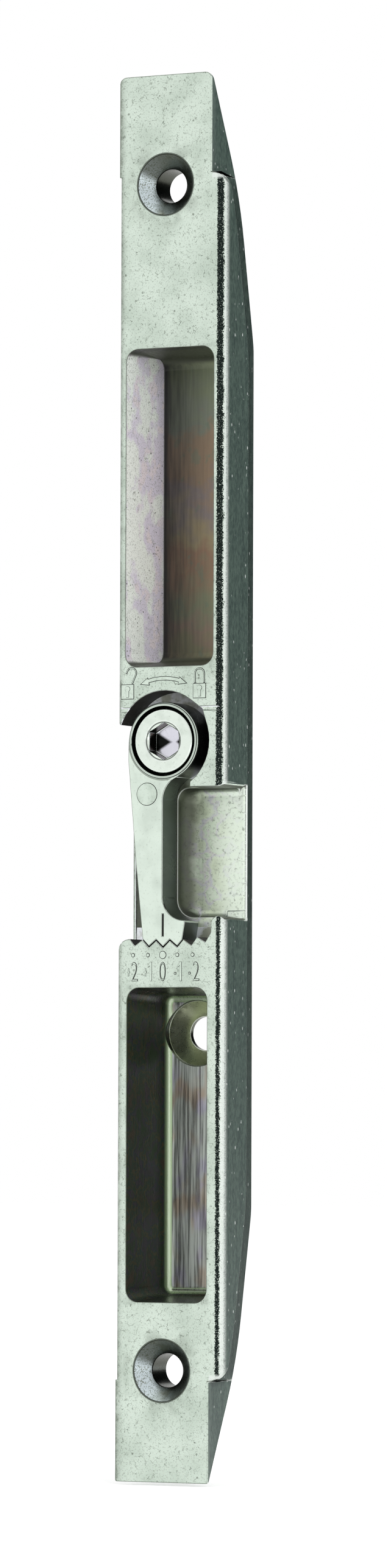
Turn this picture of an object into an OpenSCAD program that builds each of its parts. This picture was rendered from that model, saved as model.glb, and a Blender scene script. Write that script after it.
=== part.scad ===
// Strike plate of a multipoint door lock, right-hand version.
// A die-cast plate with two bolt pockets carries a toothed latch lever under a socket screw.
// The front face lies in the plane y = 0 and looks towards -y, z runs along the plate,
// and the origin is midway between the two end screw holes.

/* [Plate] */
// Overall length
plate_l = 216; // [212:1:240]
// Width across the flush ends
plate_w = 16; // [15.6:0.1:18]
// Depth from the front face to the flat of the back
plate_d = 15.7; // [15.2:0.1:18]
// Slope of the cast side walls in degrees
side_draft = 1.2; // [0:0.1:2]
// Length of each flush end, before the rounded middle begins
end_l = 15.5; // [12:0.5:16]
// Rounding of the flange's long front edge
edge_r = 1.4; // [0.8:0.1:1.6]
// Rounding of the left front edge along the middle
left_edge_r = 1; // [0.4:0.1:1.2]
// Rounding of the long front edges at the flush ends
end_edge_r = 0.3; // [0.2:0.1:0.6]
// Rounding of the two top corners
top_corner_r = 1.2; // [0.5:0.1:3]
// Rounding of the two bottom corners
foot_corner_r = 0.4; // [0.2:0.1:3]

/* [Back] */
// Thickness left at the very tips
tip_t = 0.2; // [0.1:0.1:1]
// Length of the sloping back at each end
ramp_l = 42.6; // [40:0.2:44]
// Slope of the back at the tips in degrees
tip_ramp = 28.7; // [26:0.1:32]
// Slope of the back towards its flat in degrees
flat_ramp = 12.7; // [11:0.1:15]
// Rounding between the two slopes
ramp_r = 50; // [30:1:55]
// Rounding between the slope and the flat
flat_r = 30; // [10:1:35]
// Wall left around the hollows cored into the back
core_wall = 2; // [1.5:0.1:2.5]
// Thickness of the plate in front of the end hollows
end_web = 6.8; // [6:0.1:7.5]

/* [Side flange] */
// How far the flange reaches past the plate's right side
flange_w = 2.4; // [1.8:0.1:3.5]
// Distance from the back of the flange to the back of the plate
flange_back = 7.3; // [7:0.1:7.6]
// Rounding of the flange's two end corners
flange_corner_r = 2.4; // [1.5:0.1:4]

/* [Screw holes] */
// Distance from each tip to its screw hole
hole_inset = 17; // [14:0.5:19]
// Screw hole diameter
hole_d = 5.2; // [4.2:0.1:5.6]
// Countersink diameter of the end holes
sink_d = 9.5; // [8:0.1:10.4]
// Countersink diameter of the hole in the lower pocket
pocket_sink_d = 10.1; // [9.4:0.1:10.6]
// Depth of the straight rim above the countersink in the lower pocket
pocket_rim = 0.5; // [0.3:0.1:0.8]
// Height of the hole in the lower pocket
pocket_hole_z = -39.4; // [-42:0.2:-39]

/* [Upper pocket] */
// Height of its middle
upper_z = 41.2; // [40:0.2:43]
// Length of the opening
upper_l = 49; // [44:0.5:51]
// Width of the opening
upper_w = 15; // [13:0.1:15.4]
// Wall left at the plate's left side
upper_wall = 1.4; // [1.2:0.1:2]
// Depth
upper_d = 12; // [9:0.1:13]
// Slope of its side walls in degrees
upper_draft = 1.8; // [1:0.1:4]
// Slope of its lower wall in degrees
upper_foot_draft = 6.5; // [2:0.1:9]

/* [Lower pocket] */
// Height of its middle
lower_z = -56.6; // [-57.4:0.2:-55]
// Length of the opening
lower_l = 48; // [44:0.5:49]
// Width of the opening
lower_w = 13.7; // [12.4:0.1:14]
// Wall left at the plate's left side
lower_wall = 1.85; // [1.4:0.05:2.4]
// Depth
lower_d = 11.7; // [10:0.1:12.2]
// Slope of its walls in degrees
lower_draft = 3.6; // [2:0.1:5]

/* [Pocket corners] */
// Corner radius at the face
mouth_r = 2; // [1.5:0.1:3]
// Rounding between the floor and the walls, but not the side walls of the upper pocket
floor_r = 1.7; // [1:0.1:2]

/* [Latch lever] */
// Height of the lever's pivot
pivot_z = 5.2; // [4.6:0.1:5.4]
// Outer radius of the lever's eye
eye_r = 6; // [5.9:0.05:6.3]
// How far the eye stands proud of the arm
eye_rise = 0.25; // [0.1:0.05:0.4]
// Thickness of the arm
lever_t = 4.8; // [4.4:0.1:5.4]
// Gap between the lever's back and its seat
seat_gap = 0.1; // [0.05:0.05:0.2]
// Rounding of the seat's open left edge
seat_edge_r = 0.8; // [0.3:0.1:1.2]
// Radius from the pivot to the bottoms of the rack's notches
rack_r = 31.7; // [31:0.1:32]
// Depth of the teeth
tooth_h = 1.1; // [0.8:0.05:1.3]
// Angle from notch to notch in degrees
notch_a = 4.4; // [4:0.1:4.6]
// Clearance between the lever's teeth and the rack
tooth_gap = 0.2; // [0.15:0.05:0.3]
// Notches that the lever can move each way
notches = 2;

/* [Clamp screw and nut] */
// Nominal diameter of the screw
screw_d = 6; // [5:0.5:6]
// Head diameter
head_d = 10; // [9.5:0.1:10]
// Head height
head_h = 3.4; // [3:0.1:3.6]
// Width across the flats of the socket
hex_af = 5; // [4:0.5:5]
// Depth of the socket's flats
hex_d = 2.6; // [1.6:0.1:2.7]
// Gap around the head in the eye
head_gap = 0.38; // [0.3:0.02:0.4]
// Running clearance around the shank
shank_gap = 0.08; // [0.05:0.01:0.1]
// Width across the flats of the square nut
nut_w = 10; // [9.5:0.1:10.4]
// Thickness of the nut
nut_t = 5; // [4:0.1:5.5]
// Plate left between the lever's seat and the nut
nut_web = 2.6; // [2:0.1:3]
// Clearance around the nut in its channel
nut_gap = 0.15; // [0.1:0.05:0.3]

/* [Latch recess] */
// Depth
recess_d = 7.8; // [7.5:0.1:7.9]
// Gap from the lever's eye down to its upper wall
recess_gap = 1.1; // [1:0.1:1.6]
// Distance from its lower wall down to the bottoms of the rack's notches
recess_rise = 4.8; // [4.5:0.1:5.2]
// Rounding between its left wall and its floor
recess_r = 2.4; // [1.5:0.1:2.6]
// Rounding between its upper and lower walls and its floor
recess_end_r = 1.2; // [0.6:0.1:1.5]
// Rounding of its floor where it meets the plate's right side
lip_r = 0.6; // [0.3:0.1:0.8]

/* [Hidden] */
$fn = 96;

zinc = [0.80, 0.82, 0.80];
lever_zinc = [0.86, 0.88, 0.85];
screw_steel = [0.88, 0.89, 0.87];
nut_steel = [0.62, 0.60, 0.52];

// How far cutters run past the faces that they open
over = 1;
// The plate
half_w = plate_w / 2;
band_z = plate_l / 2 - end_l;
hole_z = plate_l / 2 - hole_inset;
flat_z = plate_l / 2 - ramp_l;
knee_z = flat_z + (plate_d - tip_t - ramp_l * tan(tip_ramp)) / (tan(flat_ramp) - tan(tip_ramp));
knee_d = plate_d - (knee_z - flat_z) * tan(flat_ramp);
side_lean = tan(side_draft);
back_edge_r = 0.6;
// The flange
flange_x = half_w + flange_w;
flange_d = plate_d - flange_back;
// The lever, measured from its pivot
lift = tooth_h + tooth_gap;
seat_d = lever_t + seat_gap;
seat_r = eye_r + lift + 0.45;
tip_r = rack_r - tooth_gap;
arm_x = -0.15;
neck_r = 3.8;
neck_x = arm_x + neck_r;
neck_z = -sqrt(pow(eye_r + neck_r, 2) - pow(neck_x, 2));
arch_r = 3.7;
arch_z = 7.7 - tip_r;
toe = [3.77, 3.8 - tip_r];
toe_foot = [3.28, 1 - tip_r];
heel_foot = [-3.5, 1.2 - tip_r];
heel_mid = [-4.72, 13.1 - tip_r];
heel_top = [-eye_r - 0.08, -2.8];
pointer_foot = 1.6 - tip_r;
pointer_l = 3.4;
swing = notches * notch_a;
toe_reach = norm(toe) * sin(atan2(toe[0], -toe[1]) + swing) + 0.2;
// The screw and its nut
head_proud = eye_rise - 0.1;
head_floor = head_h - head_proud;
eye_floor = head_floor + 0.05;
shank_r = screw_d / 2;
nut_front = seat_d + nut_web + 0.05;
nut_back = nut_front + nut_t;
shank_end = nut_back + 0.8;
slot_r = shank_r + 0.3;
// The latch recess and its neighbours
recess_x = 0.05;
recess_top = pivot_z - eye_r - recess_gap;
recess_foot = pivot_z - rack_r + recess_rise;
recess_top_r = 1.8;
recess_foot_r = 2.7;
block_x = 4.5;
horn_z = pivot_z + 2.64;
knuckle_r = 1.2;
groove_z = pivot_z + 4.9;
groove_w = 0.6;

function unit(v) = v / norm(v);
function spun(v, a) = [v[0] * cos(a) - v[1] * sin(a), v[0] * sin(a) + v[1] * cos(a)];
function flat(p) = [p[0], p[1]];

// One corner of an outline as an arc: p is the corner, a and b its neighbours
function corner(p, a, b, r, steps = 6) =
    r == 0 ? [p] :
    let (
        u = unit(a - p),
        w = unit(b - p),
        half = acos(u * w) / 2,
        centre = p + unit(u + w) * r / sin(half),
        start = p + u * r / tan(half) - centre,
        side = u[0] * w[1] - u[1] * w[0] > 0 ? -1 : 1
    )
    [for (i = [0:steps]) centre + spun(start, side * (180 - 2 * half) * i / steps)];

// An outline whose points are [x, y, corner radius]
function rounded(points) =
    let (n = len(points))
    [for (i = [0:n - 1]) each corner(
        flat(points[i]),
        flat(points[(i + n - 1) % n]),
        flat(points[(i + 1) % n]),
        points[i][2]
    )];

// A point at a radius from the pivot, at an angle from straight down, positive to the right
function polar(r, a) = [r * sin(a), -r * cos(a)];

// An outline drawn as (x, z) becomes a solid from depth a to depth b
module sink(a, b) {
    translate([0, b, 0]) rotate([90, 0, 0]) linear_extrude(height = b - a) children();
}

// An outline drawn as (depth, z) becomes a solid from x = a to x = b
module across(a, b) {
    translate([a, 0, 0]) rotate([90, 0, 90]) linear_extrude(height = b - a) children();
}

// A section drawn as (x, depth) becomes a solid from z = a to z = b
module along(a, b) {
    translate([0, 0, a]) linear_extrude(height = b - a) children();
}

// A round solid along the depth axis, from depth a to depth b
module round_into(r, a, b, r_end = -1) {
    translate([0, a, 0]) rotate([-90, 0, 0]) cylinder(h = b - a, r1 = r, r2 = r_end < 0 ? r : r_end);
}

// The plate seen from its side, pulled towards the face by an inset
module side_profile(inset = 0) {
    translate([-inset, 0]) polygon(rounded([
        [-over, plate_l / 2, 0],
        [tip_t, plate_l / 2, 0],
        [knee_d, knee_z, ramp_r],
        [plate_d, flat_z, flat_r],
        [plate_d, -flat_z, flat_r],
        [knee_d, -knee_z, ramp_r],
        [tip_t, -plate_l / 2, 0],
        [-over, -plate_l / 2, 0]
    ]));
}

// The cross-section behind the face, with its own rounding at each front edge
module core_section(left_r, right_r) {
    back_w = half_w - plate_d * side_lean;
    polygon(rounded([
        [-half_w, 0, left_r],
        [half_w, 0, right_r],
        [back_w, plate_d, back_edge_r],
        [-back_w, plate_d, back_edge_r]
    ]));
}

module plate_outline() {
    polygon(rounded([
        [-half_w, plate_l / 2, top_corner_r],
        [half_w, plate_l / 2, top_corner_r],
        [half_w, -plate_l / 2, foot_corner_r],
        [-half_w, -plate_l / 2, foot_corner_r]
    ]));
}

module plate_core() {
    intersection() {
        across(-plate_w, plate_w) side_profile();
        sink(-over, plate_d + over) plate_outline();
        union() {
            along(-band_z, band_z) core_section(left_edge_r, 0);
            for (side = [-1, 1])
                along(side < 0 ? -plate_l / 2 : band_z, side < 0 ? -band_z : plate_l / 2)
                    core_section(end_edge_r, end_edge_r);
        }
    }
}

// The thin flange on the right side, thinning out towards both ends with the back's slope
module side_flange() {
    intersection() {
        across(0, flange_x + over) side_profile(flange_back);
        sink(-over, plate_d) polygon(rounded([
            [0, band_z, 0],
            [flange_x, band_z, flange_corner_r],
            [flange_x, -band_z, flange_corner_r],
            [0, -band_z, 0]
        ]));
        along(-band_z, band_z) polygon(rounded([
            [0, 0, 0],
            [flange_x, 0, edge_r],
            [flange_x - flange_d * side_lean, flange_d, 0],
            [0, flange_d, 0]
        ]));
    }
}

// A bolt pocket between [low, high] limits at its mouth and at its floor, d deep.
// Its floor is rounded up into the end walls, and into the side walls unless they are sharp.
module bolt_pocket(x, z, floor_x, floor_z, d, sharp) {
    hull() {
        for (j = [0, 1]) {
            in_z = 1 - 2 * j;
            for (i = [0, 1])
                translate([x[i] + (1 - 2 * i) * mouth_r, -over, z[j] + in_z * mouth_r])
                    rotate([-90, 0, 0]) cylinder(h = over, r = mouth_r, $fn = 32);
            end_z = floor_z[j] + in_z * floor_r;
            if (sharp)
                translate([floor_x[0], d - floor_r, end_z])
                    rotate([0, 90, 0]) cylinder(h = floor_x[1] - floor_x[0], r = floor_r, $fn = 32);
            else
                for (i = [0, 1])
                    translate([floor_x[i] + (1 - 2 * i) * floor_r, d - floor_r, end_z])
                        rotate([-90, 0, 0]) sphere(r = floor_r, $fn = 32);
        }
    }
}

module upper_pocket() {
    left = -half_w + upper_wall;
    lean = upper_d * tan(upper_draft);
    foot = upper_z - upper_l / 2;
    head = upper_z + upper_l / 2;
    // The right wall leans in far enough to stay inside the narrower back
    bolt_pocket(
        [left, left + upper_w],
        [foot, head],
        [left + lean, half_w - core_wall],
        [foot + upper_d * tan(upper_foot_draft), head - lean],
        upper_d,
        true
    );
}

module lower_pocket() {
    left = -half_w + lower_wall;
    right = left + lower_w;
    lean = lower_d * tan(lower_draft);
    foot = lower_z - lower_l / 2;
    head = lower_z + lower_l / 2;
    bolt_pocket(
        [left, right],
        [foot, head],
        [left + lean, min(right - lean, half_w - lower_d * side_lean - 0.8)],
        [foot + lean, head - lean],
        lower_d,
        false
    );
}

// A countersunk screw hole through the plate, whose countersink starts at a given depth
module screw_hole(z, start, cone_d, rim) {
    cone_r = cone_d / 2;
    hole_r = hole_d / 2;
    translate([0, start, z]) {
        round_into(hole_r, -over, plate_d + over);
        round_into(cone_r, -over, rim);
        round_into(cone_r, rim, rim + cone_r - hole_r, hole_r);
    }
}

// The lever's seat: a round pocket about the pivot, the arm's path, and the rack at its foot
module seat_outline() {
    crest_r = rack_r - tooth_h;
    steps = [for (i = [notches:-1:-notches + 1])
        each [polar(rack_r, i * notch_a), polar(crest_r, (i - 0.5) * notch_a)]];
    first = polar(rack_r, -notches * notch_a);
    last = polar(rack_r, (notches + 1) * notch_a);
    shoulder = rack_shoulder();
    translate([0, pivot_z]) {
        circle(r = seat_r);
        polygon(concat(
            [
                [-plate_w, horn_z - pivot_z],
                [0, horn_z - pivot_z],
                [0, 0],
                [block_x, -eye_r],
                [block_x, recess_top - pivot_z],
                [toe_reach, recess_top - pivot_z],
                [toe_reach, last[1] + (toe_reach - last[0]) * 1.6],
                last,
                polar(crest_r, (notches + 0.5) * notch_a)
            ],
            steps,
            [first, shoulder, [-plate_w, shoulder[1]]]
        ));
        // Small outward corner of the round pocket, at its upper right
        polygon([
            [0, 0],
            polar(seat_r, 143),
            polar(seat_r + 0.4, 126),
            polar(seat_r, 105)
        ]);
    }
}

// Where the last flank of the rack ends, at the top of the plate's left shoulder
function rack_shoulder() =
    let (
        foot = polar(rack_r, -notches * notch_a),
        head = polar(rack_r - tooth_h, -(notches + 0.5) * notch_a)
    )
    foot + 0.8 * (head - foot);

// The open pocket beside the lever, where the latch comes to rest
module latch_recess() {
    reach = flange_x + over;
    open_x = recess_x + recess_foot_r;
    hull() {
        for (c = [[recess_top_r, recess_top - recess_top_r], [recess_foot_r, recess_foot + recess_foot_r]]) {
            translate([recess_x + c[0], -over, c[1]])
                rotate([-90, 0, 0]) cylinder(h = seat_d + over, r = c[0], $fn = 32);
        }
        for (z = [recess_top - recess_r, recess_foot + recess_foot_r])
            translate([recess_x + recess_r, recess_d - recess_r, z])
                rotate([-90, 0, 0]) sphere(r = recess_r, $fn = 32);
        for (z = [recess_top - recess_end_r, recess_foot + recess_end_r])
            translate([open_x, recess_d - recess_end_r, z])
                rotate([0, 90, 0]) cylinder(h = reach - open_x, r = recess_end_r, $fn = 32);
        translate([open_x, -over, recess_foot]) cube([reach - open_x, over, recess_top - recess_foot]);
    }
}

// Takes an outer corner at (x, z) off to a radius: sx and sz point into the solid
module corner_off(x, z, r, sx, sz) {
    translate([x, z]) scale([sx, sz]) difference() {
        translate([-over, -over]) square(r + over);
        translate([r, r]) circle(r = r);
    }
}

module recess_edges() {
    lip_x = flange_x - recess_d * side_lean;
    // Floor rolled over into the side
    along(recess_foot, recess_top) difference() {
        translate([lip_x - lip_r, recess_d]) square([lip_r + over, lip_r]);
        translate([lip_x - lip_r, recess_d + lip_r]) circle(r = lip_r);
    }
    // Rounded ends of the walls on both sides of the recess
    sink(-over, recess_d) {
        corner_off(toe_reach, recess_foot, knuckle_r, 1, -1);
        corner_off(flange_x, recess_foot, knuckle_r, -1, -1);
        corner_off(flange_x, recess_top, knuckle_r, -1, 1);
    }
    // Rounded shoulders of the open left side
    sink(-over, seat_d) {
        corner_off(-half_w, pivot_z + rack_shoulder()[1], 2.3, 1, -1);
        corner_off(-half_w, horn_z, 0.5, 1, 1);
    }
}

// Rounds the seat's floor over into the plate's left side
module seat_edge() {
    left = -half_w + seat_d * side_lean;
    along(pivot_z + rack_shoulder()[1], horn_z) difference() {
        translate([left - over, seat_d - over]) square([over + seat_edge_r, over + seat_edge_r]);
        polygon(rounded([
            [left, seat_d, seat_edge_r],
            [half_w, seat_d, 0],
            [half_w, plate_d, 0],
            [-half_w + plate_d * side_lean, plate_d, 0]
        ]));
    }
}

// Slot for the shank and channel for the nut, both longer than their parts by the lift
module nut_channel() {
    half = nut_w / 2 + nut_gap;
    front = seat_d + nut_web;
    translate([0, 0, pivot_z]) {
        for (z = [0, lift]) translate([0, 0, z]) round_into(slot_r, 0, plate_d);
        translate([-slot_r, 0, 0]) cube([2 * slot_r, plate_d, lift]);
        translate([-half, front, -half]) cube([2 * half, plate_d, 2 * half + lift]);
    }
}

// A hollow cored into the back, from z0 to z1, that leaves the plate a given thickness
module back_hollow(z0, z1, web) {
    half = half_w - plate_d * side_lean - core_wall;
    sink(web, plate_d + over) polygon(rounded([
        [-half, z0, 1.5], [half, z0, 1.5], [half, z1, 1.5], [-half, z1, 1.5]
    ]));
}

module back_hollows() {
    upper_top = upper_z + upper_l / 2 + core_wall;
    lower_foot = lower_z - lower_l / 2 - core_wall;
    back_hollow(upper_top, plate_l / 2, end_web);
    back_hollow(-plate_l / 2, lower_foot, end_web);
    back_hollow(recess_foot + core_wall, recess_top - core_wall, recess_d + core_wall);
}

module strike_body() {
    color(zinc) difference() {
        union() {
            plate_core();
            side_flange();
        }
        upper_pocket();
        lower_pocket();
        for (z = [-hole_z, hole_z]) screw_hole(z, 0, sink_d, 0);
        screw_hole(pocket_hole_z, lower_d, pocket_sink_d, pocket_rim);
        sink(-over, seat_d) seat_outline();
        latch_recess();
        recess_edges();
        seat_edge();
        nut_channel();
        back_hollows();
        // Casting line across the face beside the pivot
        translate([-plate_w, -over, groove_z - groove_w / 2]) cube([2 * plate_w, over + 0.15, groove_w]);
    }
}

// The arm from eye to teeth, seen from the front and measured from the pivot
module arm_outline() {
    root_r = tip_r - tooth_h;
    teeth = [for (i = [-1:1]) each i < 1
        ? [polar(tip_r, i * notch_a), polar(root_r, (i + 0.5) * notch_a)]
        : [polar(tip_r, i * notch_a)]];
    difference() {
        polygon(concat(
            [[-eye_r, 0], heel_top, heel_mid, heel_foot],
            teeth,
            [toe_foot, toe, [toe[0] - 0.3, toe[1] + 0.3], [arm_x + arch_r, arch_z], [arm_x, arch_z],
             [arm_x, neck_z], [neck_x, neck_z], [0, 0]]
        ));
        translate([neck_x, neck_z]) circle(r = neck_r);
        translate([arm_x + arch_r, arch_z]) circle(r = arch_r);
    }
}

module latch_lever() {
    bevel = 0.3;
    color(lever_zinc) translate([0, 0, pivot_z]) difference() {
        union() {
            sink(0, lever_t) arm_outline();
            round_into(eye_r, bevel - eye_rise, lever_t);
            round_into(eye_r - bevel, -eye_rise, bevel - eye_rise, eye_r);
        }
        round_into(head_d / 2 + head_gap, -over, eye_floor);
        round_into(shank_r + shank_gap, 0, lever_t + over);
        // Pointer line above the middle tooth
        translate([arm_x, -over, pointer_foot]) cube([0.22, over + 0.2, pointer_l]);
    }
}

module clamp_screw() {
    head_r = head_d / 2;
    hex_r = hex_af / 2 / cos(30);
    edge = 0.25;
    color(screw_steel) translate([0, 0, pivot_z]) difference() {
        union() {
            round_into(head_r - edge, -head_proud, edge - head_proud, head_r);
            round_into(head_r, edge - head_proud, head_floor);
            round_into(shank_r, head_floor - 0.5, shank_end - edge);
            round_into(shank_r, shank_end - edge, shank_end, shank_r - edge);
        }
        translate([0, -head_proud, 0]) {
            rotate([-90, 0, 0]) rotate(30) cylinder(r = hex_r, h = hex_d, $fn = 6);
            round_into(hex_r + 0.4, -over / 10, 0.4, hex_af / 2);
            round_into(hex_af / 2 - 0.02, hex_d - 0.01, hex_d + 0.4, 0);
        }
    }
}

module clamp_nut() {
    half = nut_w / 2;
    color(nut_steel) translate([0, 0, pivot_z]) difference() {
        sink(nut_front, nut_back) polygon(rounded([
            [-half, -half, 0.8], [half, -half, 0.8], [half, half, 0.8], [-half, half, 0.8]
        ]));
        round_into(shank_r + shank_gap, 0, plate_d);
    }
}

strike_body();
latch_lever();
clamp_screw();
clamp_nut();
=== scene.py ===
import math

import bpy
from mathutils import Matrix, Vector


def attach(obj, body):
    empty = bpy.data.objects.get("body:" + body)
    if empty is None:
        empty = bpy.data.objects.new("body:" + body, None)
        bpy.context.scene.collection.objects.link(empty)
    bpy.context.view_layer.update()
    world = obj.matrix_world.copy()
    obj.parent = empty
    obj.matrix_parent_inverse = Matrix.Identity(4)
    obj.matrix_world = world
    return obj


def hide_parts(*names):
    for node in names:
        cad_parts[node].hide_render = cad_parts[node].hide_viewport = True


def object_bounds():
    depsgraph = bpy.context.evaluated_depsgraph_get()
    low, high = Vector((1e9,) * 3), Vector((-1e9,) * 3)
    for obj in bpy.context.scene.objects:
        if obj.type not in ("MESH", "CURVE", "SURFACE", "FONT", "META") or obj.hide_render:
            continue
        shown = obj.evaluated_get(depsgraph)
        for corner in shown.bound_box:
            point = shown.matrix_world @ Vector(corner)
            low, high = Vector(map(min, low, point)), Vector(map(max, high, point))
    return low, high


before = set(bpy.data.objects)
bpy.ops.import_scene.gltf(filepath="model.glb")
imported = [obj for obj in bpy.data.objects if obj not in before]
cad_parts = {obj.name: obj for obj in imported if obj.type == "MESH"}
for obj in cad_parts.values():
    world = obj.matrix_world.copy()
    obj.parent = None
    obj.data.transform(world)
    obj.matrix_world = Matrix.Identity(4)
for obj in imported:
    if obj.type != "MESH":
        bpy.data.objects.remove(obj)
cad_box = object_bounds()


# Camera. It stands low and to the right of the plate's face, about a metre away, with a
# long lens, so that both the face and the flanged side are seen.
camera_yaw = math.radians(26.82)
camera_pitch = math.radians(2.876)
camera_roll = math.radians(0.186)
camera_place = Vector((0.46631, -0.91211, -0.05284))
sensor_height = 24
focal_length = 102.484

ahead = Vector((
    -math.sin(camera_yaw) * math.cos(camera_pitch),
    math.cos(camera_yaw) * math.cos(camera_pitch),
    math.sin(camera_pitch),
))
level_right = Vector((math.cos(camera_yaw), math.sin(camera_yaw), 0))
level_up = level_right.cross(ahead)
right = level_right * math.cos(camera_roll) + level_up * math.sin(camera_roll)
turn = Matrix((right, right.cross(ahead), -ahead)).transposed().to_4x4()

lens = bpy.data.cameras.new("camera")
lens.sensor_fit = "VERTICAL"
lens.sensor_height = sensor_height
lens.lens = focal_length
lens.clip_start = 0.01
camera = bpy.data.objects.new("camera", lens)
camera.matrix_world = Matrix.Translation(camera_place) @ turn
bpy.context.scene.collection.objects.link(camera)
bpy.context.scene.camera = camera
bpy.context.scene.view_settings.view_transform = "Standard"


# Studio. A pale floor under the plate's foot and a white room around it, one large soft
# lamp from the front left, a weaker one from above, one from the right that lights the
# pockets' left walls, and a black card behind on the right that the plate's side reflects.
class Wire:
    """A socket in a node tree. Sums written with it add the Math nodes that work them out."""

    def __init__(self, tree, socket=None):
        self.tree = tree
        self.socket = socket

    def node(self, kind, inputs=None, output=0, **settings):
        """Adds a node of that kind and gives one of its outputs."""
        node = self.tree.nodes.new("ShaderNode" + kind)
        stops = settings.pop("stops", None)
        for name, value in settings.items():
            setattr(node, name, value)
        if stops:
            ramp = node.color_ramp
            while len(ramp.elements) < len(stops):
                ramp.elements.new(0.5)
            for element, (place, colour) in zip(ramp.elements, stops):
                element.position = place
                element.color = (*colour, 1)
        for name, value in (inputs or {}).items():
            if isinstance(value, Wire):
                self.tree.links.new(value.socket, node.inputs[name])
            else:
                node.inputs[name].default_value = value
        return Wire(self.tree, node.outputs[output])

    def sum(self, operation, first, second=0.0, third=0.0):
        return self.node("Math", {0: first, 1: second, 2: third}, operation=operation)

    def __add__(self, other):
        return self.sum("ADD", self, other)

    def __sub__(self, other):
        return self.sum("SUBTRACT", self, other)

    def __rsub__(self, other):
        return self.sum("SUBTRACT", other, self)

    def __mul__(self, other):
        return self.sum("MULTIPLY", self, other)

    def __truediv__(self, other):
        return self.sum("DIVIDE", self, other)

    def __pow__(self, other):
        return self.sum("POWER", self, other)

    __radd__ = __add__
    __rmul__ = __mul__

    def size(self):
        return self.sum("ABSOLUTE", self)

    def least(self, other):
        return self.sum("MINIMUM", self, other)

    def most(self, other):
        return self.sum("MAXIMUM", self, other)

    def rise(self, low, high):
        """0 below low, 1 above high, and a smooth rise between them."""
        return self.node(
            "MapRange",
            {"Value": self, "From Min": low, "From Max": high},
            interpolation_type="SMOOTHSTEP",
        )

    def fall(self, low, high):
        return 1 - self.rise(low, high)

    def blend(self, first, second, blend_type="MIX"):
        """Mixes two colours, with this value as the share of the second."""
        return self.node(
            "Mix", {0: self, 6: first, 7: second}, output=2, data_type="RGBA", blend_type=blend_type
        )

    def shaded(self, value):
        """This colour times a value."""
        return self.node(
            "Mix", {0: 1.0, 6: self, 7: value}, output=2, data_type="RGBA", blend_type="MULTIPLY"
        )


floor_size = 6
floor_z = cad_box[0].z - 0.0005
floor_colour = (0.86, 0.86, 0.86, 1)
floor_glow = 0.35
room_light = 0.8
key_size = (0.9, 1.8)
key_power = 0.6
top_size = 1.2
top_power = 1.2
pocket_lamp_size = (0.5, 1)
pocket_lamp_power = 10.5
card_colour = (0.012, 0.014, 0.014, 1)
card_azimuth = 152
card_width = 70
card_distance = 0.9


def shader_tree(owner):
    """The node tree of a material or a world, with only its output left in it."""
    owner.use_nodes = True
    tree = owner.node_tree
    for node in list(tree.nodes):
        if "OUTPUT" not in node.type:
            tree.nodes.remove(node)
    return tree, next(n for n in tree.nodes if "OUTPUT" in n.type)


def white_rays(wire):
    """1 for the rays that show the background: the camera's, and those off metal and glass."""
    seen = wire.node("LightPath", output="Is Camera Ray")
    for other in ("Is Glossy Ray", "Is Transmission Ray"):
        seen = seen.most(wire.node("LightPath", output=other))
    return seen


world = bpy.data.worlds.new("room")
bpy.context.scene.world = world
tree, output = shader_tree(world)
wire = Wire(tree)
strength = room_light + white_rays(wire) * (1 - room_light)
background = wire.node("Background", {"Color": (1, 1, 1, 1), "Strength": strength})
tree.links.new(background.socket, output.inputs["Surface"])

bpy.ops.mesh.primitive_plane_add(size=floor_size, location=(0, 0, floor_z))
floor = bpy.context.active_object
floor.name = "floor"
floor_paint = bpy.data.materials.new("floor_paint")
tree, output = shader_tree(floor_paint)
wire = Wire(tree)
painted = wire.node("BsdfDiffuse", {"Color": floor_colour})
glow = wire.node("Emission", {"Color": (1, 1, 1, 1), "Strength": white_rays(wire) * floor_glow})
lit = wire.node("AddShader", {0: painted, 1: glow})
below = wire.node("NewGeometry", output="Backfacing")
clear = wire.node("BsdfTransparent")
shown = wire.node("MixShader", {0: below, 1: lit, 2: clear})
tree.links.new(shown.socket, output.inputs["Surface"])
floor.data.materials.append(floor_paint)


def from_plate(azimuth, elevation, distance):
    """A place round the plate: azimuth 0 is in front of its face, 90 on its flange's side."""
    a = math.radians(azimuth)
    e = math.radians(elevation)
    out = Vector((math.sin(a) * math.cos(e), -math.cos(a) * math.cos(e), math.sin(e)))
    return out * distance


def facing(place):
    """The turn that makes a lamp or a card look back at the plate."""
    return (-place).to_track_quat("-Z", "Y")


def soft_lamp(name, place, size, power):
    light = bpy.data.lights.new(name, "AREA")
    light.shape = "RECTANGLE"
    light.size = size[0]
    light.size_y = size[1]
    light.energy = power
    lamp = bpy.data.objects.new(name, light)
    lamp.location = place
    lamp.rotation_mode = "QUATERNION"
    lamp.rotation_quaternion = facing(place)
    bpy.context.scene.collection.objects.link(lamp)
    return lamp


soft_lamp("key_lamp", from_plate(-32, 12, 1.3), key_size, key_power)
soft_lamp("top_lamp", from_plate(-20, 75, 1.4), (top_size, top_size), top_power)
pocket_lamp = soft_lamp("pocket_lamp", from_plate(46, 4, 1.2), pocket_lamp_size, pocket_lamp_power)
pocket_lamp.visible_glossy = False

card_paint = bpy.data.materials.new("card_paint")
tree, output = shader_tree(card_paint)
black = Wire(tree).node("BsdfDiffuse", {"Color": card_colour})
tree.links.new(black.socket, output.inputs["Surface"])
place = from_plate(card_azimuth, 0, card_distance)
bpy.ops.mesh.primitive_plane_add(size=1, location=place)
card = bpy.context.active_object
card.name = "rear_card"
card.rotation_mode = "QUATERNION"
card.rotation_quaternion = facing(place)
card.scale = (2 * card_distance * math.tan(math.radians(card_width / 2)), 1.6, 1)
card.data.materials.append(card_paint)
card.visible_camera = False
card.visible_diffuse = False
card.visible_shadow = False


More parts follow.
